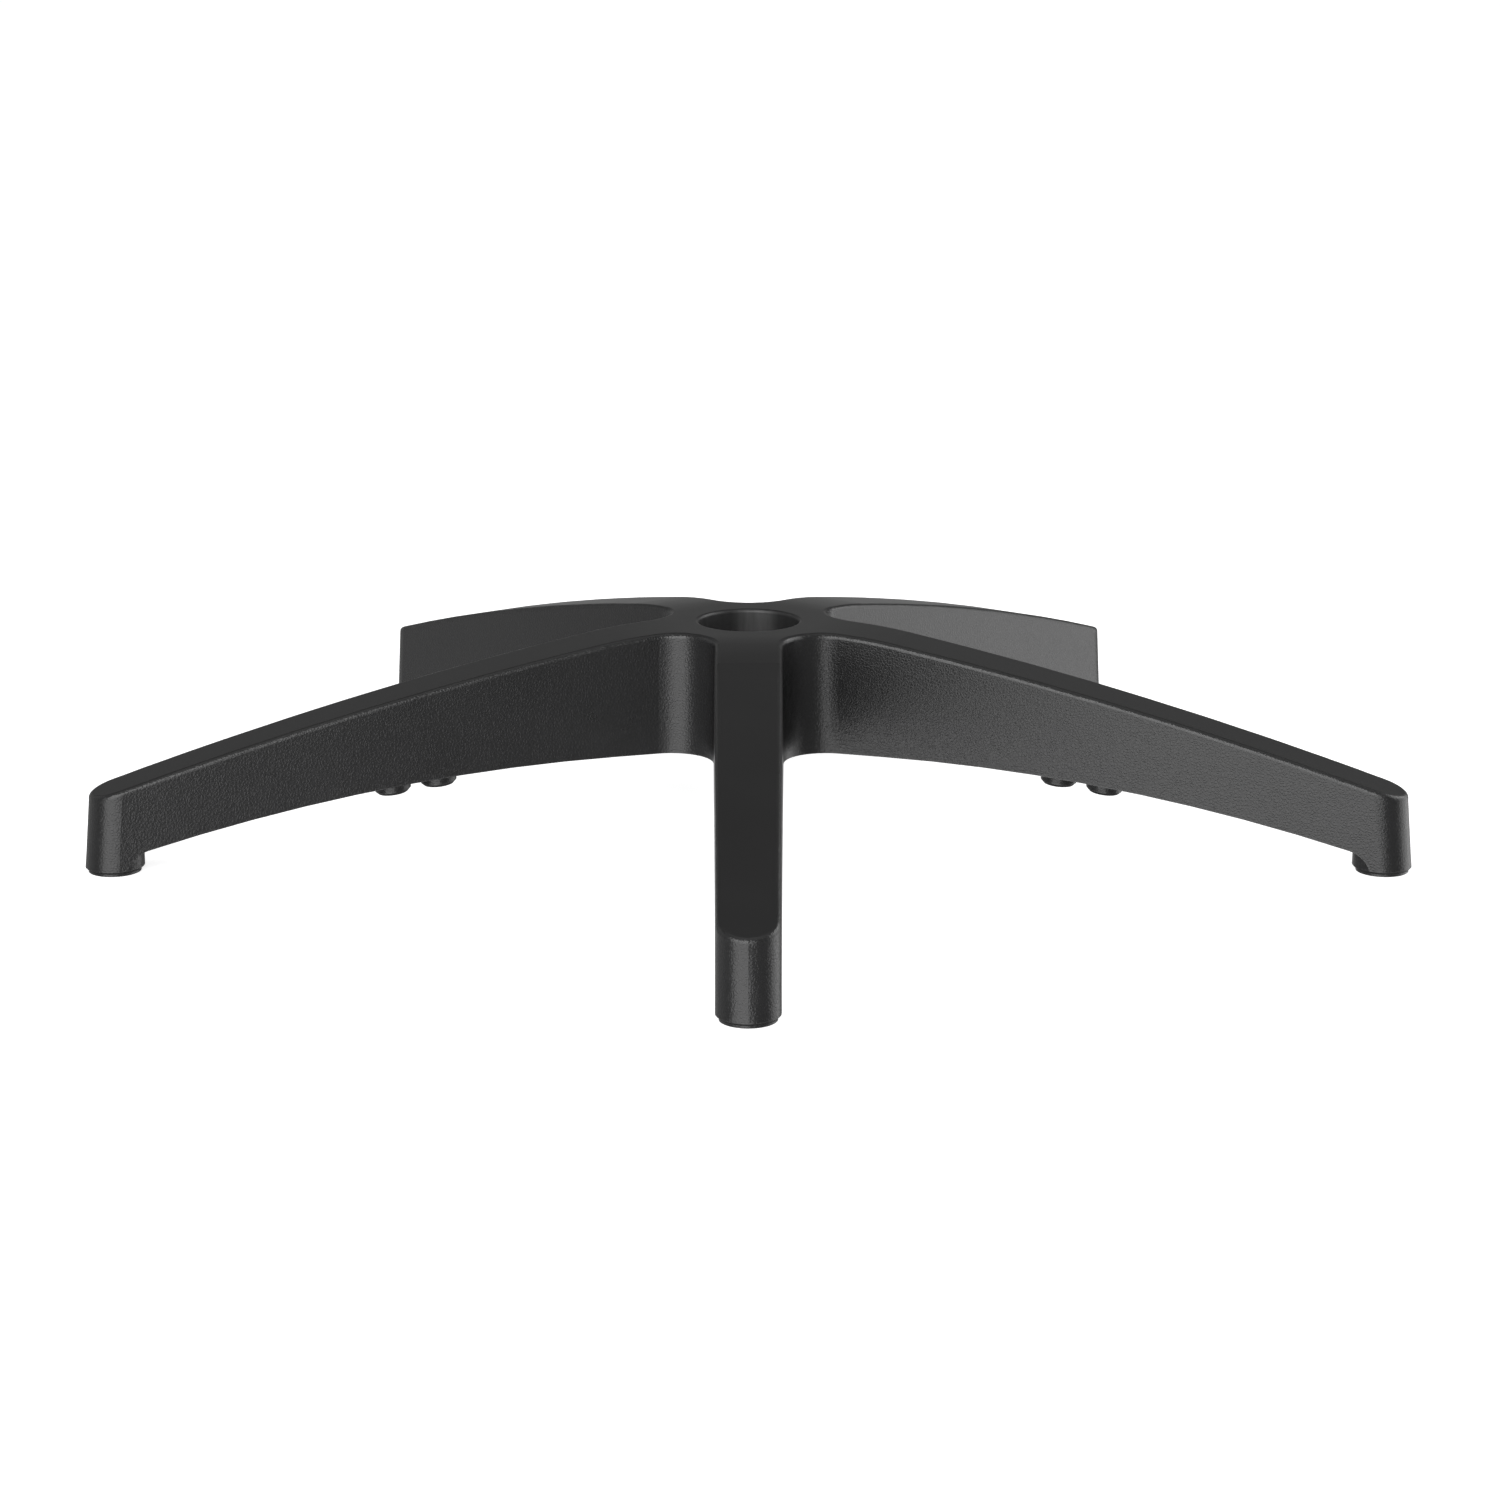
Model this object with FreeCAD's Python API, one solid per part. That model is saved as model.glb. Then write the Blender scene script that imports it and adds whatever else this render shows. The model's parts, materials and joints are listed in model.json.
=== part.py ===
"""Five star base of an office chair, moulded in one piece from glass filled nylon.

Five arms run down and out from a hub. The hub has the tapered seat of a gas
lift column, and each arm ends in a round foot with the socket of a caster stem.
The base is hollow underneath, as such mouldings are: a skin of even thickness,
a zigzag of ribs in each arm, and a ribbed sleeve round the column's seat.

Sizes are in millimetres and degrees. The base stands on the plane z = 0 on its
five feet, with the column's axis on Z and one arm along -Y.
"""

import FreeCAD, Part
import math
import os

from FreeCAD import Vector

# The star in plan, at the floor
arm_count = 5
first_arm_angle = -90.0
width_across_side_tips = 640.0
foot_radius = 14.2
arm_half_width_at_axis = 18.3
web_radius = 21.3
side_draft = 0.5
tip_lean = 4.6

# The top line of the arms: flat hub, short shoulder arc, long arm arc
hub_top = 101.5
hub_flat_radius = 36.0
shoulder_arc_radius = 260.0
shoulder_share_of_slope = 0.814
foot_top = 41.6
top_edge_radius = 2.5

# The lower line of the arms: level, long arch, and a sweep down to the foot
skirt_bottom = 40.5
skirt_level_radius = 75.0
arch_end_height = 12.0
sweep_share_of_drop = 1.6

# Walls of the moulding
skin = 3.6
side_wall = 3.2
rib = 2.2
rib_recess = 3.0

# The seat of the gas lift column
column_radius = 25.0
column_clearance = 0.25
column_land = 8.0
seat_half_angle = 1.4375
sleeve_wall = 5.0
bore_edge_radius = 1.8

# The feet and their caster sockets
stem_radius = 5.5
stem_clearance = 0.1
stem_length = 22.0
spare_depth = 13.0
socket_wall = 3.0
foot_chamfer = 1.4
pad_radius = 12.65
pad_height = 1.3
foot_core_outer_radius = 10.2
foot_core_depth = 20.0
foot_rib_count = 3

# The zigzag ribs of the arms, and the hollow bosses in two of its cells
rib_cell = 23.0
hub_ring_radius = 57.5
hub_rib_angle = 14.0
boss_cell_numbers = (4, 5)
boss_radius = 8.8
boss_hole_radius = 5.8
boss_proud = 6.6
boss_chamfer = 1.4

# Places that follow from the sizes above
arm_step = 360.0 / arm_count
foot_place = (width_across_side_tips / 2 - foot_radius) / math.sin(
    math.radians(arm_step)
)
foot_body_radius = foot_radius + 0.2
socket_radius = stem_radius + stem_clearance
socket_depth = stem_length + spare_depth
land_radius = column_radius + column_clearance
sleeve_radius = land_radius + sleeve_wall
outline_top = 1.1 * hub_top
far_out = foot_place + 3 * foot_radius
far_down = -0.5 * hub_top
far_up = 1.6 * hub_top
origin = Vector(0, 0, 0)
upwards = Vector(0, 0, 1)


def polar(radius, angle, z=0.0):
    """A point from its distance to the axis, its angle and its height."""
    turn = math.radians(angle)
    return Vector(radius * math.cos(turn), radius * math.sin(turn), z)


def arc(start, middle, end):
    """A circular edge through three points."""
    return Part.Arc(start, middle, end).toShape()


def ring_of(shape, first_angle=first_arm_angle, count=arm_count):
    """Copies of a shape made along +X, turned to equal steps round the axis."""
    copies = []
    for number in range(count):
        copy = shape.copy()
        copy.rotate(origin, upwards, first_angle + number * 360.0 / count)
        copies.append(copy)
    return copies


def revolved_polygon(points):
    """The solid of (radius, height) corners joined by lines and swept round Z."""
    corners = [Vector(radius, 0, z) for radius, z in points]
    return revolved(Part.Face(Part.makePolygon(corners + corners[:1])))


def upright(radius, low, high):
    """A cylinder on the axis between two heights."""
    return Part.makeCylinder(radius, high - low, Vector(0, 0, low))


def bar(start, end, thickness, low=far_down, high=far_up):
    """An upright wall between two plan points."""
    along = (end - start).normalize()
    side = Vector(-along.y, along.x, 0) * (thickness / 2)
    corners = [start - side, end - side, end + side, start + side]
    face = Part.Face(Part.makePolygon(corners + corners[:1]))
    face.translate(Vector(0, 0, low))
    return face.extrude(Vector(0, 0, high - low))


def prismatoid(low, high):
    """A solid with flat faces between two polygons with matching corners."""
    sides = []
    for number in range(len(low)):
        after = (number + 1) % len(low)
        sides.append([low[number], low[after], high[after], high[number]])
    loops = [low, high] + sides
    faces = [Part.Face(Part.makePolygon(loop + loop[:1])) for loop in loops]
    return Part.Solid(Part.Shell(faces))


def star_arm(inset=0.0):
    """One arm along +X, from the axis to its round tip, with upright extent to spare.

    The tip is half of a cone whose axis leans in. The two flat walls are tangent
    to that cone and part from each other towards the hub, so each wall's normal
    meets the cone's axis at the draft angle.
    """
    draft = math.radians(side_draft)
    lean = math.radians(tip_lean)
    spread = math.asin((arm_half_width_at_axis - foot_radius) / foot_place)
    across = math.sin(spread) * math.sin(lean)
    tilt = math.asin(math.sin(draft) / math.hypot(math.cos(lean), across))
    tilt += math.atan2(across, math.cos(lean))
    foot = Vector(foot_place, 0, 0)
    axis = Vector(-math.sin(lean), 0, math.cos(lean))
    size = foot_radius - inset

    def corners(z, wider):
        """The walls' corners at a height: two on the axis and two on the seams."""
        made = []
        for hand in (-1, 1):
            normal = Vector(math.sin(spread), hand * math.cos(spread), math.tan(tilt))
            normal.normalize()
            away = (normal - axis * math.sin(draft)) * (1 / math.cos(draft))
            along = (z - size * away.z) / (axis.z - math.tan(draft) * away.z)
            seam = foot + axis * along + away * (size - along * math.tan(draft))
            inner_y = size * math.cos(draft) + foot_place * normal.x - z * normal.z
            inner_y /= normal.y
            apart = Vector(0, hand * wider, 0)
            made.append((Vector(0, inner_y, z) + apart, seam + apart))
        return [made[0][0], made[0][1], made[1][1], made[1][0]]

    low, high = -outline_top, outline_top
    arm = prismatoid(corners(low, 0), corners(high, 0))
    reach = 2 * outline_top
    low_size = size + reach * math.tan(draft)
    high_size = size - reach * math.tan(draft)
    cone = Part.makeCone(low_size, high_size, 2 * reach, foot - axis * reach, axis)
    behind_seams = prismatoid(
        corners(2 * low, far_out), corners(2 * high, far_out)
    )
    return arm.fuse(cone.cut(behind_seams))


def star(inset=0.0):
    """The star: five arms joined by concave webs, all with drafted walls.

    Pulled in by an inset, the webs stay concentric, so the wall between two such
    stars has one thickness.
    """
    arms = ring_of(star_arm(inset))
    joined = arms[0].fuse(arms[1:]).removeSplitter()
    corners = [edge for edge in joined.Edges if is_web_corner(edge)]
    return joined.makeFillet(web_radius + inset, corners)


def is_web_corner(edge):
    """Is this the upright corner between the walls of two neighbouring arms?"""
    first, last = [vertex.Point for vertex in edge.Vertexes][:2]
    upright_edge = abs(first.z - last.z) > outline_top
    return upright_edge and math.hypot(first.x, first.y) < foot_place / 2


def direction(turn):
    """The unit vector in the XZ plane at an angle from Z towards X, in radians."""
    return Vector(math.sin(turn), 0, math.cos(turn))


def arc_about(centre, radius, first, last):
    """An arc in the XZ plane about a centre, between two angles from Z."""
    points = [centre + direction(turn) * radius for turn in (first, (first + last) / 2, last)]
    return arc(*points)


def crown(depth=0.0):
    """The top line of the arm along +X: level, shoulder arc and arm arc.

    The shoulder ends at a share of the arm's mean slope, and the arm arc leaves
    it without a kink and passes over the foot's centre at the foot's height.
    """
    flat_end = Vector(hub_flat_radius, 0, hub_top)
    foot = Vector(foot_place, 0, foot_top)
    fall = foot - flat_end
    slope = shoulder_share_of_slope * math.atan2(-fall.z, fall.x)
    shoulder_centre = flat_end - Vector(0, 0, shoulder_arc_radius)
    shoulder_end = shoulder_centre + direction(slope) * shoulder_arc_radius
    chord = foot - shoulder_end
    arm_arc_radius = chord.Length / 2 / math.sin(math.atan2(-chord.z, chord.x) - slope)
    arm_centre = shoulder_end - direction(slope) * arm_arc_radius
    last = math.asin((far_out - arm_centre.x) / (arm_arc_radius - depth))
    level = Vector(0, 0, -depth)
    return [
        Part.makeLine(Vector(-far_out, 0, hub_top) + level, flat_end + level),
        arc_about(shoulder_centre, shoulder_arc_radius - depth, 0, slope),
        arc_about(arm_centre, arm_arc_radius - depth, slope, last),
    ]


def arch():
    """Centre, radius and end angle of the arch between the hub and the foot."""
    reach = foot_place - foot_radius - skirt_level_radius
    drop = skirt_bottom - arch_end_height
    radius = (reach**2 + drop**2) / (2 * drop)
    centre = Vector(skirt_level_radius, 0, skirt_bottom - radius)
    return centre, radius, math.asin(reach / radius)


def rib_line():
    """The ribs' lower line, parallel to the skirt and above it."""
    centre, radius, _ = arch()
    radius += rib_recess
    last = math.asin((far_out - centre.x) / radius)
    level = skirt_bottom + rib_recess
    return [
        Part.makeLine(Vector(-far_out, 0, level), Vector(centre.x, 0, level)),
        arc_about(centre, radius, 0, last),
    ]


def skirt_line():
    """The skirt's lower line: level, arch, and a sweep down beside the foot.

    The sweep is an arc that leaves the arch without a kink, and it stops at the
    height where the foot's chamfer starts.
    """
    centre, radius, end_turn = arch()
    stop_height = pad_height + foot_chamfer
    sweep_radius = sweep_share_of_drop * (arch_end_height - stop_height)
    arch_end = centre + direction(end_turn) * radius
    sweep_centre = arch_end - direction(end_turn) * sweep_radius
    last = math.acos((stop_height - sweep_centre.z) / sweep_radius)
    sweep_end = sweep_centre + direction(last) * sweep_radius
    return [
        Part.makeLine(Vector(-far_out, 0, skirt_bottom), centre + Vector(0, 0, radius)),
        arc_about(centre, radius, 0, end_turn),
        arc_about(sweep_centre, sweep_radius, end_turn, last),
        Part.makeLine(sweep_end, Vector(far_out, 0, stop_height)),
    ]


def flats(edges, counts):
    """A line of edges as straight chords, with a count of them for each edge."""
    points = [edges[0].Vertexes[0].Point]
    for edge, count in zip(edges, counts):
        points.extend(edge.discretize(count + 1)[1:])
    return Part.makePolygon(points).Edges


def closed_at(height, edges):
    """A face in the XZ plane between a line and a height."""
    start = edges[0].Vertexes[0].Point
    end = edges[-1].Vertexes[-1].Point
    end_corner = Vector(end.x, 0, height)
    start_corner = Vector(start.x, 0, height)
    sides = [
        Part.makeLine(end, end_corner),
        Part.makeLine(end_corner, start_corner),
        Part.makeLine(start_corner, start),
    ]
    return Part.Face(Part.Wire(edges + sides))


def revolved(face):
    """The solid that a face in the XZ plane sweeps round the axis."""
    return face.revolve(origin, upwards, 360)


def across_arm(face):
    """The solid that a face in the XZ plane sweeps across the arm along +X."""
    face.translate(Vector(0, -far_out, 0))
    return face.extrude(Vector(0, 2 * far_out, 0))


def under_skin():
    """Everything under the skin of the arm along +X, whose inside is in flats."""
    return across_arm(closed_at(far_down, flats(crown(skin), (1, 2, 8))))


def arm_wall_edges(form):
    """The edges where the star's side walls meet its top surface."""
    found = []
    for edge in form.Edges:
        tops = 0
        for face in form.ancestorsOfType(edge, Part.Face):
            u, v = face.Surface.parameter(edge.CenterOfMass)
            if face.normalAt(u, v).z > 0.9:
                tops += 1
        middle = edge.valueAt(sum(edge.ParameterRange) / 2)
        if tops == 1 and middle.z > 0:
            found.append(edge)
    return found


def foot_body():
    """A foot from the floor up: a pad, a chamfer and a round body."""
    foot = revolved_polygon(
        [
            (0, 0),
            (pad_radius, 0),
            (pad_radius, pad_height),
            (foot_body_radius - foot_chamfer, pad_height),
            (foot_body_radius, pad_height + foot_chamfer),
            (foot_body_radius, far_up),
            (0, far_up),
        ]
    )
    foot.translate(Vector(foot_place, 0, 0))
    return foot


def boss_places():
    """The distances of the bosses from the axis: the middles of their rib cells."""
    return [hub_ring_radius + rib_cell * (n + 0.5) for n in boss_cell_numbers]


def bosses():
    """The outsides of one arm's two bosses, standing proud of its lower line.

    Each is upright, and its chamfered end is square to the arch above it.
    """
    made = []
    for place in boss_places():
        centre, radius, _ = arch()
        slope = math.asin((place - centre.x) / radius)
        level = centre.z + (radius - boss_proud) * math.cos(slope)
        end = revolved_polygon(
            [
                (0, 0),
                (boss_radius - boss_chamfer, 0),
                (boss_radius - boss_chamfer + hub_top, hub_top),
                (0, hub_top),
            ]
        )
        end.rotate(origin, Vector(0, 1, 0), math.degrees(slope))
        end.translate(Vector(place, 0, level))
        post = upright(boss_radius, far_down, hub_top / 2)
        post.translate(Vector(place, 0, 0))
        made.append(post.common(end))
    return made


def boss_holes():
    """The holes up the bosses of one arm, as deep as the skin allows."""
    holes = []
    for place in boss_places():
        hole = upright(boss_hole_radius, far_down, far_up)
        hole.translate(Vector(place, 0, 0))
        holes.append(hole.common(under_skin()))
    return holes


def rib_bars():
    """One arm's ribs: a ring and two radial ribs at the hub, then a zigzag."""
    ring = upright(hub_ring_radius + rib / 2, far_down, far_up)
    bars = [ring.cut(upright(hub_ring_radius - rib / 2, far_down, far_up))]
    for angle in (-hub_rib_angle, hub_rib_angle):
        bars.append(bar(polar(column_radius, angle), polar(hub_ring_radius, angle), rib))
    inner_width = arm_half_width_at_axis - side_wall
    narrowing = (arm_half_width_at_axis - foot_radius) / foot_place
    cell_count = int((foot_place - foot_body_radius - hub_ring_radius) / rib_cell)
    for number in range(cell_count):
        start = hub_ring_radius + number * rib_cell
        end = start + rib_cell
        start_side = inner_width - narrowing * start
        end_side = inner_width - narrowing * end
        hand = 1 if number % 2 else -1
        first = Vector(start, -hand * start_side, 0)
        last = Vector(end, hand * end_side, 0)
        bars.append(bar(first, last, rib))
    return bars


def arm_wedge():
    """One arm's share of the plan, short of the ribs behind the webs."""
    half_step = arm_step / 2
    apex = Vector(rib / 2 / math.sin(math.radians(half_step)), 0, far_down)
    right = apex + polar(far_out * 2, -half_step)
    left = apex + polar(far_out * 2, half_step)
    face = Part.Face(Part.makePolygon([apex, right, left, apex]))
    return face.extrude(Vector(0, 0, far_up - far_down))


def outer_form():
    """The outside of the moulding, filled: hub, arms, feet and bosses."""
    form = star().cut(ring_of(across_arm(closed_at(far_up, crown()))))
    form = form.makeFillet(top_edge_radius, arm_wall_edges(form))
    above = ring_of(across_arm(closed_at(far_up, skirt_line())))
    form = form.common(above[0].fuse(above[1:] + ring_of(foot_body())))
    return form.fuse([b for boss in bosses() for b in ring_of(boss)])


def arm_hollow():
    """The hollow under one arm: the pockets between its ribs, joined below them."""
    inside = star(side_wall)
    inside.rotate(origin, upwards, -first_arm_angle)
    inside = inside.common(arm_wedge())
    inside = inside.common(under_skin())
    bars = rib_bars()
    ribs = bars[0].fuse(bars[1:])
    ribs = ribs.common(across_arm(closed_at(far_up, flats(rib_line(), (1, 6)))))
    posts = [upright(sleeve_radius, far_down, far_up), foot_body()]
    for place in boss_places():
        post = upright(boss_radius, far_down, far_up)
        post.translate(Vector(place, 0, 0))
        posts.append(post)
    return inside.cut([ribs] + posts)


def column_seat():
    """The bore of the column: a cylindrical land at the top, then the tapered seat."""
    land_bottom = hub_top - column_land
    drop = land_bottom - far_down
    narrow = land_radius - drop * math.tan(math.radians(seat_half_angle))
    land = Part.makeCylinder(land_radius, column_land + 1, Vector(0, 0, land_bottom))
    seat = Part.makeCone(narrow, land_radius, drop, Vector(0, 0, far_down))
    return [land, seat]


def foot_hollows():
    """One foot's caster socket, and the cores round it that lighten the foot."""
    socket = Part.makeCylinder(socket_radius, socket_depth)
    core = upright(foot_core_outer_radius, far_down, foot_core_depth)
    core = core.cut(upright(socket_radius + socket_wall, far_down, far_up))
    spoke = bar(origin, Vector(foot_radius, 0, 0), rib)
    core = core.cut(ring_of(spoke, 45.0, foot_rib_count))
    made = [socket, core]
    for hollow in made:
        hollow.translate(Vector(foot_place, 0, 0))
    return made


def mouth_edge(base):
    """The circle where the column's bore meets the top of the hub."""
    for edge in base.Edges:
        round_edge = isinstance(edge.Curve, Part.Circle)
        if round_edge and abs(edge.CenterOfMass.z - hub_top) < 0.01:
            if abs(edge.Curve.Radius - land_radius) < 0.01:
                return edge
    raise RuntimeError("the mouth of the bore was not found")


def star_base():
    """The whole moulding as one solid."""
    base = outer_form().cut(ring_of(arm_hollow()))
    tools = column_seat()
    for hollow in foot_hollows() + boss_holes():
        tools.extend(ring_of(hollow))
    base = base.cut(tools)
    base = base.makeFillet(bore_edge_radius, [mouth_edge(base)])
    if len(base.Solids) != 1 or not base.isValid():
        raise RuntimeError("the base is not one sound solid")
    return base.Solids[0]


os.makedirs("parts", exist_ok=True)
star_base().exportStep("parts/star_base.step")
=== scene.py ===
"""Looks of an office chair's five star base: moulded black nylon in a pale studio."""

import json
import math

import bpy
import numpy as np
from bpy.props import FloatProperty, FloatVectorProperty, PointerProperty
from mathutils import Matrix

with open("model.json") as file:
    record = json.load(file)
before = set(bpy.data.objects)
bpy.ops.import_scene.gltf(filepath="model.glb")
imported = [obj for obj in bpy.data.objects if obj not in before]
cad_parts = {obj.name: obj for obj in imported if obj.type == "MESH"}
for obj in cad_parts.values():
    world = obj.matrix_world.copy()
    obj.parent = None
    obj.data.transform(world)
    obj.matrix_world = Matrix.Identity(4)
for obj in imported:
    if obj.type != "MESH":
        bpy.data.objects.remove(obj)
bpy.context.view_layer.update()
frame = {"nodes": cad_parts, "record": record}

bl_info = {
    "name": "Five Star Base",
    "version": (1, 0, 0),
    "blender": (4, 5, 0),
    "location": "3D View > Sidebar > Star Base",
    "description": "Moulded nylon finish, studio and camera for a chair's star base",
    "category": "Object",
}

MOUNTS = {mount["name"]: mount for mount in frame["record"]["mounts"]}
BORE_RADIUS = MOUNTS["gas_lift_bore"]["dims"]["r_mm"] / 1000


class StarBaseFinish(bpy.types.PropertyGroup):
    """Colours and textures of the moulded nylon."""

    smooth_colour: FloatVectorProperty(
        name="Smooth Colour",
        description="Nylon on the polished top of the arms",
        subtype="COLOR",
        default=(0.0098, 0.0098, 0.0100),
    )
    grained_colour: FloatVectorProperty(
        name="Grained Colour",
        description="Nylon on the grained side walls",
        subtype="COLOR",
        default=(0.0105, 0.0105, 0.0108),
    )
    # Edge colour: partly scuffing, partly a painted sheen that stands in for the edges'
    # highlights.
    scuff_and_sheen_colour: FloatVectorProperty(
        name="Scuff And Sheen Colour",
        description="Nylon along an edge: scuffing, and a painted sheen",
        subtype="COLOR",
        default=(0.050, 0.050, 0.051),
    )
    # Painted highlight: a lighter colour on the bore's far wall, standing in for the front
    # lights' reflection.
    bore_highlight_colour: FloatVectorProperty(
        name="Bore Highlight Colour",
        description="Painted highlight on the bore's far wall, which faces the camera",
        subtype="COLOR",
        default=(0.062, 0.062, 0.062),
    )
    smooth_roughness: FloatProperty(
        name="Smooth Roughness",
        description="Roughness of the polished top",
        subtype="FACTOR",
        min=0,
        max=1,
        default=0.34,
    )
    grained_roughness: FloatProperty(
        name="Grained Roughness",
        description="Roughness of the side walls",
        subtype="FACTOR",
        min=0,
        max=1,
        default=0.28,
    )
    grain_cell: FloatProperty(
        name="Grain Cell",
        description="Width of one cell of the leather grain",
        unit="LENGTH",
        default=0.0015,
    )
    grain_depth: FloatProperty(
        name="Grain Depth",
        description="Depth of the grooves between the cells",
        unit="LENGTH",
        default=0.000050,
    )
    scuff_and_sheen_width: FloatProperty(
        name="Scuff And Sheen Width",
        description="Width of the scuffed band along an edge, with its painted sheen",
        unit="LENGTH",
        default=0.0012,
    )
    scuff_and_sheen_amount: FloatProperty(
        name="Scuff And Sheen Amount",
        description="How far an edge goes to the scuffed colour with its painted sheen",
        subtype="FACTOR",
        min=0,
        max=1,
        default=0.55,
    )
    # The bore's radius also bounds the painted highlight.
    bore_radius: FloatProperty(
        name="Bore Radius",
        description="Distance from the axis within which the bore is ungrained and takes the painted highlight",
        unit="LENGTH",
        default=1.03 * BORE_RADIUS,
    )
    drift_size: FloatProperty(
        name="Drift Size",
        description="Size of the patches that are a little lighter or darker",
        unit="LENGTH",
        default=0.045,
    )


class StarBaseStudio(bpy.types.PropertyGroup):
    """The floor, the lights and the camera."""

    floor_colour: FloatVectorProperty(
        name="Floor Colour",
        description="The level seamless floor",
        subtype="COLOR",
        default=(0.86, 0.86, 0.86),
    )
    floor_light: FloatProperty(
        name="Floor Light",
        description="Brightness of the light that comes up through the floor",
        default=0.95,
    )
    floor_radius: FloatProperty(
        name="Floor Radius",
        description="Radius of the floor",
        unit="LENGTH",
        default=14.0,
    )
    ceiling: FloatProperty(
        name="Ceiling",
        description="Brightness of the wide soft ceiling",
        default=0.6,
    )
    ceiling_edge: FloatProperty(
        name="Ceiling Edge",
        description="Height over the horizon at which the ceiling's light starts",
        subtype="ANGLE",
        default=math.radians(64),
    )
    surround: FloatProperty(
        name="Surround",
        description="Brightness of the room below the ceiling",
        default=0.20,
    )
    floor_glow: FloatProperty(
        name="Floor Glow",
        description="Brightness that the walls mirror from the floor",
        default=0.27,
    )
    floor_shade: FloatProperty(
        name="Floor Shade",
        description="Brightness mirrored from the shaded floor straight below",
        default=0.12,
    )
    front_light: FloatProperty(
        name="Front Light",
        description="Brightness of the tall soft box in front, a little to the left",
        default=2.6,
    )
    front_turn: FloatProperty(
        name="Front Turn",
        description="Turn of the front box from the camera's side towards the right",
        subtype="ANGLE",
        default=math.radians(-18.5),
    )
    front_width: FloatProperty(
        name="Front Width",
        description="Width of the front box",
        unit="LENGTH",
        default=2.4,
    )
    right_light: FloatProperty(
        name="Right Light",
        description="Brightness of the soft box on the right",
        default=1.58,
    )
    left_light: FloatProperty(
        name="Left Light",
        description="Brightness of the dim soft box on the left",
        default=0.2,
    )
    side_turn: FloatProperty(
        name="Side Turn",
        description="Turn of the two side boxes from the camera's side",
        subtype="ANGLE",
        default=math.radians(105),
    )
    side_width: FloatProperty(
        name="Side Width",
        description="Width of each of the two side boxes",
        unit="LENGTH",
        default=2.3,
    )
    upper_share: FloatProperty(
        name="Upper Share",
        description="How much brighter the upper part of each soft box is",
        default=1.9,
    )
    light_distance: FloatProperty(
        name="Light Distance",
        description="Level distance from the column's axis to each soft box",
        unit="LENGTH",
        default=2.2,
    )
    light_low: FloatProperty(
        name="Light Low",
        description="Height of each soft box's low edge, well under the open floor",
        unit="LENGTH",
        default=-0.95,
    )
    light_split: FloatProperty(
        name="Light Split",
        description="Height at which each soft box's brighter upper part starts",
        unit="LENGTH",
        default=0.9,
    )
    light_high: FloatProperty(
        name="Light High",
        description="Height of each soft box's high edge",
        unit="LENGTH",
        default=2.3,
    )
    back_glow: FloatProperty(
        name="Back Glow",
        description="Brightness that grazed edges mirror from the floor behind",
        default=0.4,
    )
    camera_lens: FloatProperty(
        name="Camera Lens",
        description="Focal length in millimetres, on a sensor 36 mm wide",
        default=85.80,
    )
    camera_distance: FloatProperty(
        name="Camera Distance",
        description="Level distance from the column's axis to the camera",
        unit="LENGTH",
        default=1.7557,
    )
    camera_height: FloatProperty(
        name="Camera Height",
        description="Height of the camera over the floor",
        unit="LENGTH",
        default=0.49015,
    )
    camera_pitch: FloatProperty(
        name="Camera Pitch",
        description="How far the camera looks down",
        subtype="ANGLE",
        default=math.radians(14.567),
    )
    camera_shift: FloatProperty(
        name="Camera Shift",
        description="How far the camera stands to the right of the front arm",
        unit="LENGTH",
        default=0.0007,
    )


# Node trees

# Grain: sizes are shares of a cell, and heights are shares of the grain's depth.
CELL_WANDER = (0.8, 0.8, 0.8)
PLATEAU_EDGE = 0.30
GROOVE_EDGE = 0.16
FINE_GRAIN = 3.1  # finer lumps to a cell
FINE_HEIGHT = 0.35

# Scuffing and painted sheen on the edges: how far the rounded normal has turned, as a
# cosine, and the noise's patches.
TURNED_NORMAL = (0.999, 0.93)
PATCHY_SCUFF_AND_SHEEN = (0.34, 0.62)
LEAST_SCUFF_AND_SHEEN = 0.25

# Bore: shares of its radius, and the streaks of the painted highlight on its far wall:
# their count to a metre and their draw along Z.
BORE_INNER = 0.985
STREAK_DRAW = (1.0, 1.0, 0.06)
STREAK_SCALE = 420.0
STREAK_NOISE = (0.2, 0.8)
FAINTEST_STREAK = 0.5
HIGHLIGHT_SIDE = (0.17, 0.985, 0.0)  # from the axis, the far wall, where the painted highlight is strongest
HIGHLIGHT_SPREAD = (0.86, 1.0)
DIMMEST_HIGHLIGHT = 0.22


def new_group(name, inputs, outputs):
    """An empty shader node group with named float or vector sockets."""
    kinds = {"value": "NodeSocketFloat", "vector": "NodeSocketVector"}
    group = bpy.data.node_groups.new(name, "ShaderNodeTree")
    for label, kind in inputs:
        group.interface.new_socket(label, in_out="INPUT", socket_type=kinds[kind])
    for label, kind in outputs:
        group.interface.new_socket(label, in_out="OUTPUT", socket_type=kinds[kind])
    start = group.nodes.new("NodeGroupInput")
    end = group.nodes.new("NodeGroupOutput")
    return group, start.outputs, end.inputs


def add_node(tree, kind, settings=None, **sockets):
    """A node with its settings, and its sockets set to a value or joined to a socket.

    A socket's name is written with underscores, and a name that ends in a number
    is the socket's place.
    """
    node = tree.nodes.new("ShaderNode" + kind)
    for label, value in (settings or {}).items():
        setattr(node, label, value)
    for label, value in sockets.items():
        if label.startswith("input_"):
            socket = node.inputs[int(label[6:])]
        else:
            socket = node.inputs[label.replace("_", " ")]
        if isinstance(value, bpy.types.NodeSocket):
            tree.links.new(value, socket)
        else:
            socket.default_value = value
    return node


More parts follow.
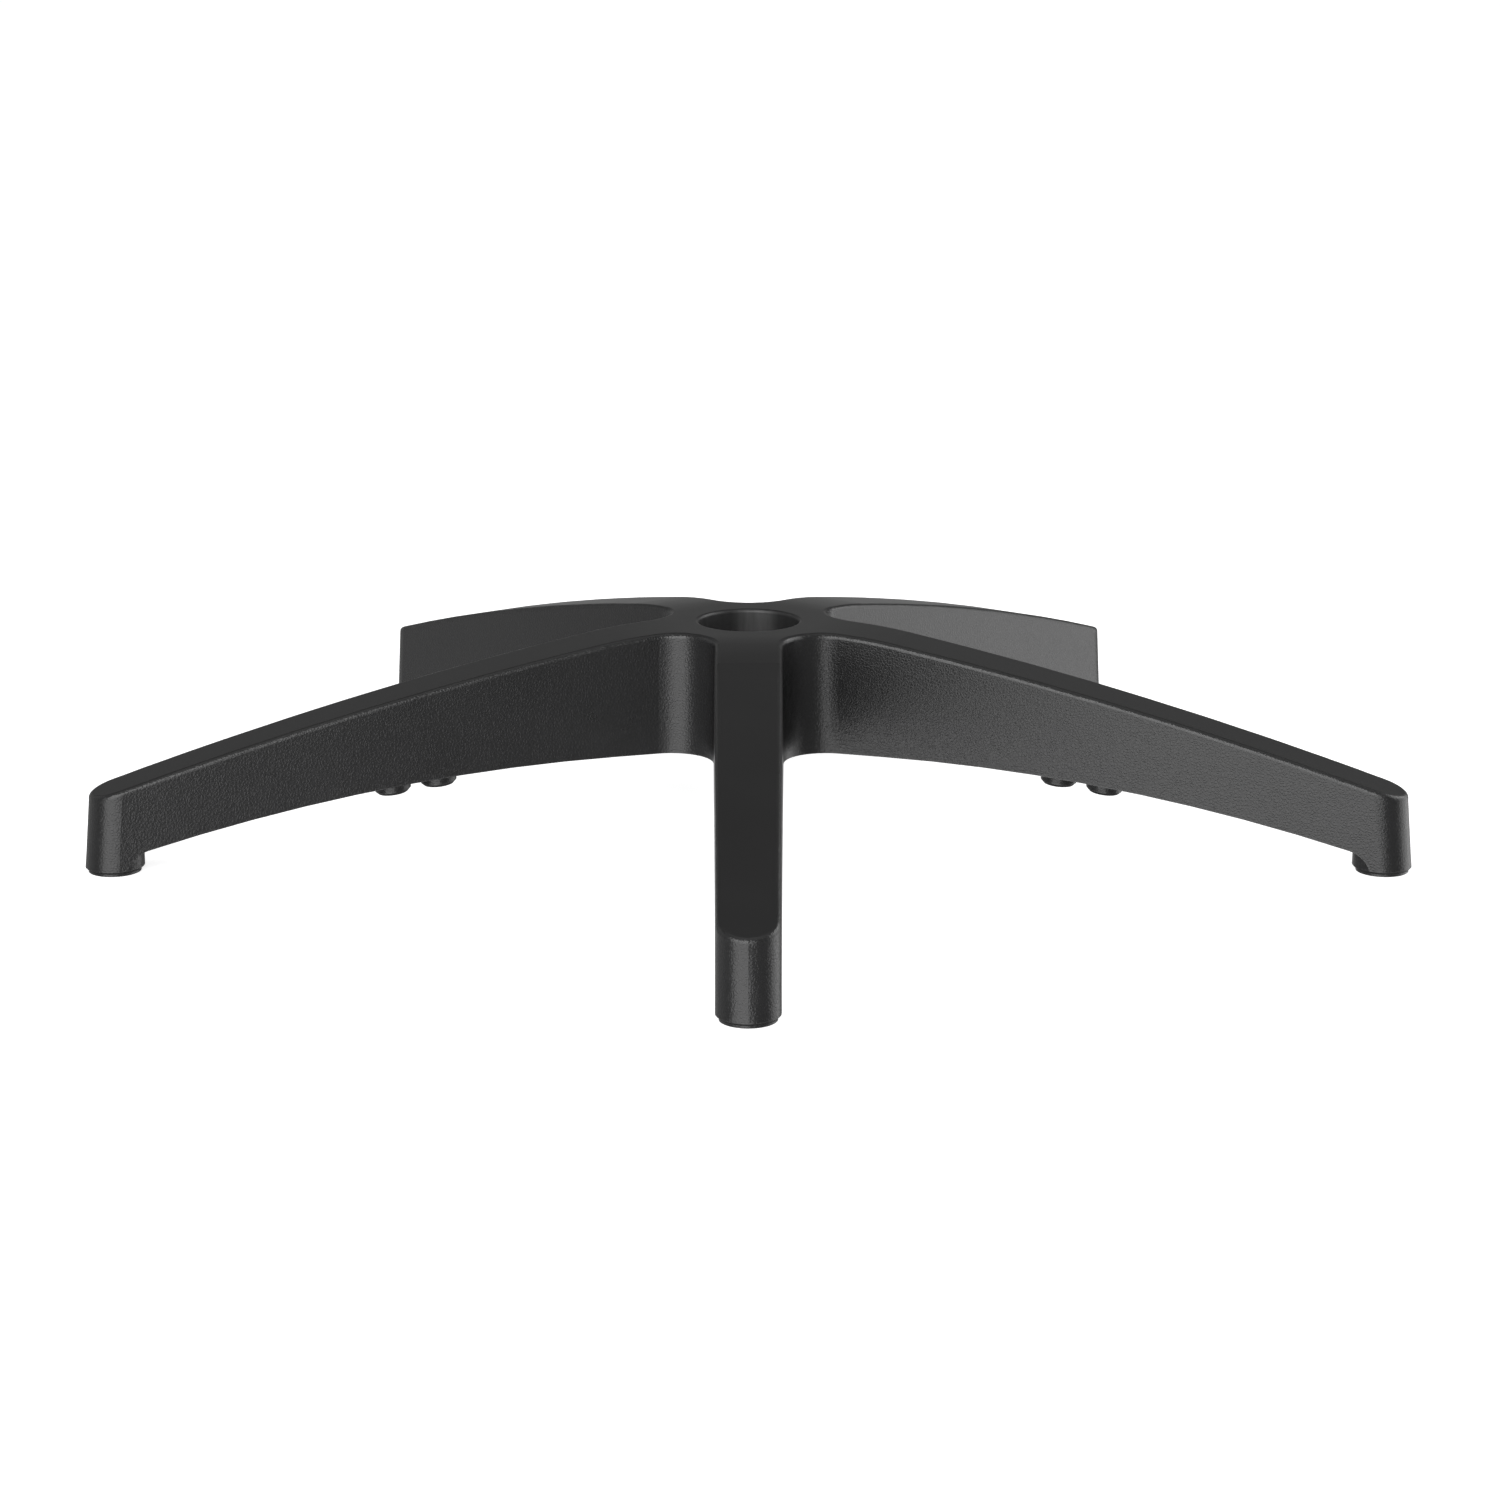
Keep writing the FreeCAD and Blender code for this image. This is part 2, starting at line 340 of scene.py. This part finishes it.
def arithmetic(tree, operation, first, second=0.0, third=0.0, clamp=False):
    """The output of a Math node."""
    settings = {"operation": operation, "use_clamp": clamp}
    return add_node(
        tree, "Math", settings, input_0=first, input_1=second, input_2=third
    ).outputs[0]


def stepped(tree, value, low, high, start=0.0, end=1.0):
    """A smooth step of a value from one number to another."""
    return add_node(
        tree,
        "MapRange",
        {"interpolation_type": "SMOOTHSTEP"},
        Value=value,
        From_Min=low,
        From_Max=high,
        To_Min=start,
        To_Max=end,
    ).outputs[0]


def grain_group():
    """Leather grain: rounded cells with grooves between them.

    The height is the distance to the nearest border of irregular cells, levelled
    off inside each cell, plus a finer roughness on top of it.
    """
    group, given, out = new_group(
        "Leather Grain",
        [("Place", "vector"), ("Cell", "value")],
        [("Height", "value"), ("Groove", "value")],
    )
    finer = arithmetic(group, "DIVIDE", 1.0, given["Cell"])
    wander = add_node(
        group, "TexNoise", Vector=given["Place"], Scale=finer, Detail=1.0
    ).outputs["Color"]
    centred = add_node(
        group,
        "VectorMath",
        {"operation": "SUBTRACT"},
        input_0=wander,
        input_1=(0.5, 0.5, 0.5),
    ).outputs[0]
    scaled = add_node(
        group,
        "VectorMath",
        {"operation": "SCALE"},
        input_0=given["Place"],
        Scale=finer,
    ).outputs[0]
    place = add_node(
        group,
        "VectorMath",
        {"operation": "MULTIPLY_ADD"},
        input_0=centred,
        input_1=CELL_WANDER,
        input_2=scaled,
    ).outputs[0]
    border = add_node(
        group, "TexVoronoi", {"feature": "DISTANCE_TO_EDGE"}, Vector=place, Scale=1.0
    ).outputs["Distance"]
    plateau = stepped(group, border, 0.0, PLATEAU_EDGE)
    fine = add_node(
        group, "TexNoise", Vector=place, Scale=FINE_GRAIN, Detail=2.0
    ).outputs[0]
    height = arithmetic(group, "MULTIPLY_ADD", fine, FINE_HEIGHT, plateau)
    group.links.new(height, out["Height"])
    group.links.new(stepped(group, border, GROOVE_EDGE, 0.0), out["Groove"])
    return group


def scuff_and_sheen_group():
    """Scuffed edges with a painted sheen: where a normal rounded over a width leaves the
    face's own normal.

    The band is broken up by a patchy noise, so an edge is lighter in places only.
    """
    group, given, out = new_group(
        "Edge Scuff And Sheen",
        [("Place", "vector"), ("Width", "value"), ("Patch", "value")],
        [("Mask", "value")],
    )
    rounded = add_node(group, "Bevel", {"samples": 6}, Radius=given["Width"]).outputs[0]
    own = add_node(group, "NewGeometry").outputs["Normal"]
    along = add_node(
        group, "VectorMath", {"operation": "DOT_PRODUCT"}, input_0=rounded, input_1=own
    ).outputs["Value"]
    band = stepped(group, along, *TURNED_NORMAL)
    finer = arithmetic(group, "DIVIDE", 1.0, given["Patch"])
    patches = add_node(
        group, "TexNoise", Vector=given["Place"], Scale=finer, Detail=4.0
    ).outputs[0]
    kept = stepped(group, patches, *PATCHY_SCUFF_AND_SHEEN, LEAST_SCUFF_AND_SHEEN, 1.0)
    group.links.new(arithmetic(group, "MULTIPLY", band, kept), out["Mask"])
    return group


def bore_highlight_group():
    """Painted highlight inside a bore on Z, in upright streaks: a noise drawn out along
    the axis.

    The bore is where the distance to the axis is under its radius. The painted highlight
    is strongest round one direction from the axis, on the far wall, which faces the
    camera.
    """
    group, given, out = new_group(
        "Bore Painted Highlight",
        [("Place", "vector"), ("Radius", "value")],
        [("Bore", "value"), ("Highlit", "value")],
    )
    flattened = add_node(
        group,
        "VectorMath",
        {"operation": "MULTIPLY"},
        input_0=given["Place"],
        input_1=(1.0, 1.0, 0.0),
    ).outputs[0]
    reach = add_node(
        group, "VectorMath", {"operation": "LENGTH"}, input_0=flattened
    ).outputs["Value"]
    inner = arithmetic(group, "MULTIPLY", given["Radius"], BORE_INNER)
    group.links.new(stepped(group, reach, given["Radius"], inner), out["Bore"])
    drawn = add_node(
        group,
        "VectorMath",
        {"operation": "MULTIPLY"},
        input_0=given["Place"],
        input_1=STREAK_DRAW,
    ).outputs[0]
    streaks = add_node(
        group, "TexNoise", Vector=drawn, Scale=STREAK_SCALE, Detail=3.0
    ).outputs[0]
    along = add_node(
        group,
        "VectorMath",
        {"operation": "DOT_PRODUCT"},
        input_0=flattened,
        input_1=HIGHLIGHT_SIDE,
    ).outputs["Value"]
    turned = arithmetic(group, "DIVIDE", along, reach)
    lightened = stepped(group, turned, *HIGHLIGHT_SPREAD, DIMMEST_HIGHLIGHT, 1.0)
    lines = stepped(group, streaks, *STREAK_NOISE, FAINTEST_STREAK, 1.0)
    group.links.new(arithmetic(group, "MULTIPLY", lightened, lines), out["Highlit"])
    return group


def drift_group():
    """Slow drift of a value either side of one, with a finer drift inside it."""
    group, given, out = new_group(
        "Slow Drift",
        [("Place", "vector"), ("Size", "value"), ("Amount", "value")],
        [("Factor", "value")],
    )
    finer = arithmetic(group, "DIVIDE", 1.0, given["Size"])
    patches = add_node(
        group, "TexNoise", Vector=given["Place"], Scale=finer, Detail=2.0
    ).outputs[0]
    signed = arithmetic(group, "MULTIPLY_ADD", patches, 2.0, -1.0)
    group.links.new(
        arithmetic(group, "MULTIPLY_ADD", signed, given["Amount"], 1.0), out["Factor"]
    )
    return group


# Nylon: the top is where the mesh's own normal rises this far. The shades are shares
# of the base colour, the grooves' one being painted shade, and the polishes are added to
# the roughness.
TOP_RISE = (0.80, 0.93)
SCUFF_AND_SHEEN_PATCH_SIZE = 0.02  # metres
SHADE_DRIFT = 0.22
POLISH_DRIFT = 0.06
GROOVE_PAINTED_SHADE = -0.10
GROOVE_POLISH = 0.04
BORE_POLISH = 0.18
WORN_POLISH = -0.10
TOP_LUMP = 0.0009  # metres
TOP_HEIGHT = 0.12
NYLON_IOR = 1.5


def colour_mix(tree, factor, first, second):
    """The output of a colour Mix node, whose two colours are values or sockets."""
    settings = {"data_type": "RGBA"}
    return add_node(
        tree, "Mix", settings, input_0=factor, input_6=first, input_7=second
    ).outputs[2]


def moulded_nylon(finish):
    """Black nylon: satin on the arms' tops, leather grained on the walls, scuffed edges.

    The edges also carry a painted sheen, the grain's grooves painted shade, and the bore's
    far wall a painted highlight.
    """
    material = bpy.data.materials.new("moulded_nylon")
    material.use_nodes = True
    tree = material.node_tree
    tree.nodes.clear()
    coordinates = add_node(tree, "TexCoord").outputs
    place = coordinates["Object"]
    facing = add_node(tree, "SeparateXYZ", Vector=coordinates["Normal"]).outputs["Z"]
    is_top = stepped(tree, facing, *TOP_RISE)

    grain = add_node(
        tree, "Group", {"node_tree": grain_group()}, Place=place, Cell=finish.grain_cell
    ).outputs
    scuff_and_sheen_mask = add_node(
        tree,
        "Group",
        {"node_tree": scuff_and_sheen_group()},
        Place=place,
        Width=finish.scuff_and_sheen_width,
        Patch=SCUFF_AND_SHEEN_PATCH_SIZE,
    ).outputs["Mask"]
    seat = add_node(
        tree,
        "Group",
        {"node_tree": bore_highlight_group()},
        Place=place,
        Radius=finish.bore_radius,
    ).outputs
    grainless = arithmetic(tree, "MAXIMUM", is_top, seat["Bore"])
    is_wall = arithmetic(tree, "SUBTRACT", 1.0, grainless)
    drift = drift_group()
    shade = add_node(
        tree,
        "Group",
        {"node_tree": drift},
        Place=place,
        Size=finish.drift_size,
        Amount=SHADE_DRIFT,
    ).outputs["Factor"]
    polish = add_node(
        tree,
        "Group",
        {"node_tree": drift},
        Place=place,
        Size=finish.drift_size / 2,
        Amount=POLISH_DRIFT,
    ).outputs["Factor"]

    base = colour_mix(
        tree, is_top, (*finish.grained_colour, 1), (*finish.smooth_colour, 1)
    )
    grooved = arithmetic(tree, "MULTIPLY", grain["Groove"], is_wall)
    # Painted shade: the grain's grooves are darkened in colour.
    darker = arithmetic(tree, "MULTIPLY_ADD", grooved, GROOVE_PAINTED_SHADE, 1.0)
    tone = arithmetic(tree, "MULTIPLY", shade, darker)
    base = add_node(
        tree,
        "VectorMath",
        {"operation": "SCALE"},
        input_0=base,
        Scale=tone,
    ).outputs[0]
    # Painted highlight: the bore's far wall is blended to a lighter colour, in streaks.
    highlit_bore = arithmetic(tree, "MULTIPLY", seat["Highlit"], seat["Bore"])
    base = colour_mix(tree, highlit_bore, base, (*finish.bore_highlight_colour, 1))
    # Edges made lighter: scuffing, together with a painted sheen.
    scuff_and_sheen_share = arithmetic(tree, "MULTIPLY", scuff_and_sheen_mask, finish.scuff_and_sheen_amount)
    base = colour_mix(tree, scuff_and_sheen_share, base, (*finish.scuff_and_sheen_colour, 1))

    rough = stepped(
        tree, is_top, 0.0, 1.0, finish.grained_roughness, finish.smooth_roughness
    )
    rough = arithmetic(tree, "MULTIPLY", rough, polish)
    for mask, change in (
        (grooved, GROOVE_POLISH),
        (seat["Bore"], BORE_POLISH),
        (scuff_and_sheen_share, WORN_POLISH),
    ):
        rough = arithmetic(tree, "MULTIPLY_ADD", mask, change, rough, clamp=True)

    fine_top = add_node(
        tree, "TexNoise", Vector=place, Scale=1 / TOP_LUMP, Detail=2.0
    ).outputs[0]
    wall_height = arithmetic(tree, "MULTIPLY", grain["Height"], is_wall)
    top_height = arithmetic(tree, "MULTIPLY", fine_top, is_top)
    height = arithmetic(tree, "MULTIPLY_ADD", top_height, TOP_HEIGHT, wall_height)
    bump = add_node(
        tree, "Bump", Strength=1.0, Distance=finish.grain_depth, Height=height
    ).outputs[0]

    surface = add_node(
        tree,
        "BsdfPrincipled",
        Base_Color=base,
        Roughness=rough,
        Normal=bump,
        IOR=NYLON_IOR,
    ).outputs[0]
    add_node(tree, "OutputMaterial", Surface=surface)
    return material


# Floor: the fibres' noise gives a share of the floor's colour and the roughness.
FIBRE_SCALE = 60.0
FIBRE_NOISE = (0.3, 0.7)
FIBRE_TONE = (0.99, 1.0)
FIBRE_ROUGHNESS = (0.88, 0.94)
FLOOR_SHINE = 0.2


def lit_floor(colour, strength):
    """Matt pale acrylic, lit from below, with a faint mottle in colour and roughness.

    It is clear from its underside, so the base can be looked at from below.
    """
    material = bpy.data.materials.new("lit_floor")
    material.use_nodes = True
    tree = material.node_tree
    tree.nodes.clear()
    place = add_node(tree, "TexCoord").outputs["Object"]
    fibre = add_node(
        tree, "TexNoise", Vector=place, Scale=FIBRE_SCALE, Detail=6.0
    ).outputs[0]
    tone = stepped(tree, fibre, *FIBRE_NOISE, *FIBRE_TONE)
    shade = add_node(
        tree,
        "VectorMath",
        {"operation": "SCALE"},
        input_0=tuple(colour),
        Scale=tone,
    ).outputs[0]
    rough = stepped(tree, fibre, *FIBRE_NOISE, *FIBRE_ROUGHNESS)
    surface = add_node(
        tree,
        "BsdfPrincipled",
        Base_Color=shade,
        Roughness=rough,
        Emission_Color=shade,
        Emission_Strength=strength,
        Specular_IOR_Level=FLOOR_SHINE,
    ).outputs[0]
    from_below = add_node(tree, "NewGeometry").outputs["Backfacing"]
    clear = add_node(tree, "BsdfTransparent").outputs[0]
    shown = add_node(
        tree, "MixShader", input_0=from_below, input_1=surface, input_2=clear
    ).outputs[0]
    add_node(tree, "OutputMaterial", Surface=shown)
    return material


# The moulding


class STARBASE_OT_moulding(bpy.types.Operator):
    """Give the moulded base its nylon finish"""

    bl_idname = "starbase.moulding"
    bl_label = "Moulded Base"

    def execute(self, context):
        finish = context.scene.star_base_finish
        moulding = frame["nodes"]["star_base"]
        nylon = moulded_nylon(finish)
        for slot in moulding.material_slots:
            slot.material = nylon
        return {"FINISHED"}


# The studio

FLOOR_RINGS = 24
FLOOR_SPOKES = 96
FLOOR_DROP = 0.0002  # metres from the feet down to the floor
SENSOR_WIDTH = 36.0  # millimetres

# The room's borders are given as a direction's rise, the sine of its angle over the
# horizon, and the glow behind the base by the cosine of the angle from its middle.
HORIZON = (-0.08, 0.04)
SHADED_FLOOR = (-0.55, -0.30)
CEILING_BORDER = math.radians(6)
GLOW_MIDDLE = (-0.21, 0.98, 0.0)
GLOW_SPREAD = (0.80, 0.95)
GLOW_RISE = (0.30, -0.05)


def round_floor(radius, rings, spokes, drop):
    """A flat disc as a polar grid, a hair below the base's feet.

    Each ring's radius grows as the square of its number, so the rings are close
    together round the axis, and the innermost closes on one point.
    """
    steps = np.linspace(0.0, 1.0, rings + 1)[1:]
    turns = np.linspace(0.0, 2 * np.pi, spokes, endpoint=False)
    reach, turn = np.meshgrid(radius * steps**2, turns, indexing="ij")
    ring_points = np.stack(
        [reach * np.cos(turn), reach * np.sin(turn), np.zeros_like(reach)], -1
    ).reshape(-1, 3)
    points = np.vstack([[0.0, 0.0, 0.0], ring_points]) - [0.0, 0.0, drop]
    number = 1 + np.arange(rings * spokes).reshape(rings, spokes)
    after = np.roll(number, -1, axis=1)
    inner = np.stack([np.zeros(spokes, int), number[0], after[0]], -1)
    outer = np.stack([number[:-1], number[1:], after[1:], after[:-1]], -1)
    faces = inner.tolist() + outer.reshape(-1, 4).tolist()
    mesh = bpy.data.meshes.new("studio_floor")
    mesh.from_pydata(points.tolist(), [], faces)
    mesh.update()
    return mesh


def soft_box(name, radiance, turn, width, low, high, distance):
    """An upright soft box that faces the base, from a low to a high edge.

    The floor is open to it, so walls that lean down to the floor mirror it too. Its
    turn is from the camera's side of the base towards the right, and its energy is
    that of a surface of this radiance and area.
    """
    height = high - low
    light = bpy.data.lights.new(name, "AREA")
    light.shape = "RECTANGLE"
    light.size, light.size_y = width, height
    light.energy = math.pi * radiance * width * height
    box = bpy.data.objects.new(name, light)
    box.location = (
        distance * math.sin(turn),
        -distance * math.cos(turn),
        (low + high) / 2,
    )
    box.rotation_euler = (math.pi / 2, 0.0, turn)
    box.visible_camera = False
    return box


def soft_room(studio):
    """A dim room under a bright ceiling and over a glowing floor, with soft borders.

    The floor glows most behind the base, a little to the left, and least straight
    below, where the base shades it.
    """
    world = bpy.data.worlds.new("soft_room")
    world.use_nodes = True
    tree = world.node_tree
    tree.nodes.clear()
    direction = add_node(tree, "TexCoord").outputs["Generated"]
    rise = add_node(tree, "SeparateXYZ", Vector=direction).outputs["Z"]
    walls = stepped(tree, rise, *HORIZON, studio.floor_glow, studio.surround)
    walls = stepped(tree, rise, *SHADED_FLOOR, studio.floor_shade, walls)
    low = math.sin(studio.ceiling_edge - CEILING_BORDER)
    high = math.sin(studio.ceiling_edge + CEILING_BORDER)
    lit = stepped(tree, rise, low, high)
    strength = arithmetic(tree, "MULTIPLY_ADD", lit, studio.ceiling, walls)
    along = add_node(
        tree,
        "VectorMath",
        {"operation": "DOT_PRODUCT"},
        input_0=direction,
        input_1=GLOW_MIDDLE,
    ).outputs["Value"]
    behind = stepped(tree, along, *GLOW_SPREAD)
    behind = arithmetic(tree, "MULTIPLY", behind, stepped(tree, rise, *GLOW_RISE))
    strength = arithmetic(tree, "MULTIPLY_ADD", behind, studio.back_glow, strength)
    background = add_node(tree, "Background", Strength=strength).outputs[0]
    add_node(tree, "OutputWorld", Surface=background)
    return world


class STARBASE_OT_studio(bpy.types.Operator):
    """Make the floor, the lights and the camera"""

    bl_idname = "starbase.studio"
    bl_label = "Studio"

    def execute(self, context):
        studio = context.scene.star_base_studio
        disc = round_floor(
            studio.floor_radius, FLOOR_RINGS, FLOOR_SPOKES, FLOOR_DROP
        )
        floor = bpy.data.objects.new("studio_floor", disc)
        floor.data.materials.append(lit_floor(studio.floor_colour, studio.floor_light))
        context.collection.objects.link(floor)
        floor.visible_glossy = False
        floor.visible_shadow = False

        low, split, high = studio.light_low, studio.light_split, studio.light_high
        for name, radiance, turn, width in (
            ("front", studio.front_light, studio.front_turn, studio.front_width),
            ("right", studio.right_light, studio.side_turn, studio.side_width),
            ("left", studio.left_light, -studio.side_turn, studio.side_width),
        ):
            for label, share, bottom, top in (
                ("_light", 1.0, low, split),
                ("_upper_light", studio.upper_share, split, high),
            ):
                box = soft_box(
                    name + label,
                    share * radiance,
                    turn,
                    width,
                    bottom,
                    top,
                    studio.light_distance,
                )
                context.collection.objects.link(box)
        context.scene.world = soft_room(studio)
        context.scene.view_settings.view_transform = "Standard"

        lens = bpy.data.cameras.new("camera")
        lens.sensor_width = SENSOR_WIDTH
        lens.lens = studio.camera_lens
        camera = bpy.data.objects.new("camera", lens)
        camera.location = (
            studio.camera_shift,
            -studio.camera_distance,
            studio.camera_height,
        )
        camera.rotation_euler = (math.pi / 2 - studio.camera_pitch, 0.0, 0.0)
        context.collection.objects.link(camera)
        context.scene.camera = camera
        return {"FINISHED"}


class STARBASE_PT_panel(bpy.types.Panel):
    """The base's pieces and sizes in the sidebar"""

    bl_idname = "STARBASE_PT_panel"
    bl_label = "Star Base"
    bl_space_type = "VIEW_3D"
    bl_region_type = "UI"
    bl_category = "Star Base"

    def draw(self, context):
        for operator, settings in (
            (STARBASE_OT_moulding, context.scene.star_base_finish),
            (STARBASE_OT_studio, context.scene.star_base_studio),
        ):
            box = self.layout.box()
            box.operator(operator.bl_idname)
            for label in settings.__annotations__:
                box.prop(settings, label)


CLASSES = (
    StarBaseFinish,
    StarBaseStudio,
    STARBASE_OT_moulding,
    STARBASE_OT_studio,
    STARBASE_PT_panel,
)


def register():
    for item in CLASSES:
        bpy.utils.register_class(item)
    bpy.types.Scene.star_base_finish = PointerProperty(type=StarBaseFinish)
    bpy.types.Scene.star_base_studio = PointerProperty(type=StarBaseStudio)


def unregister():
    del bpy.types.Scene.star_base_studio
    del bpy.types.Scene.star_base_finish
    for item in reversed(CLASSES):
        bpy.utils.unregister_class(item)


def main():
    register()
    bpy.ops.starbase.moulding()
    bpy.ops.starbase.studio()


if __name__ == "__main__":
    main()
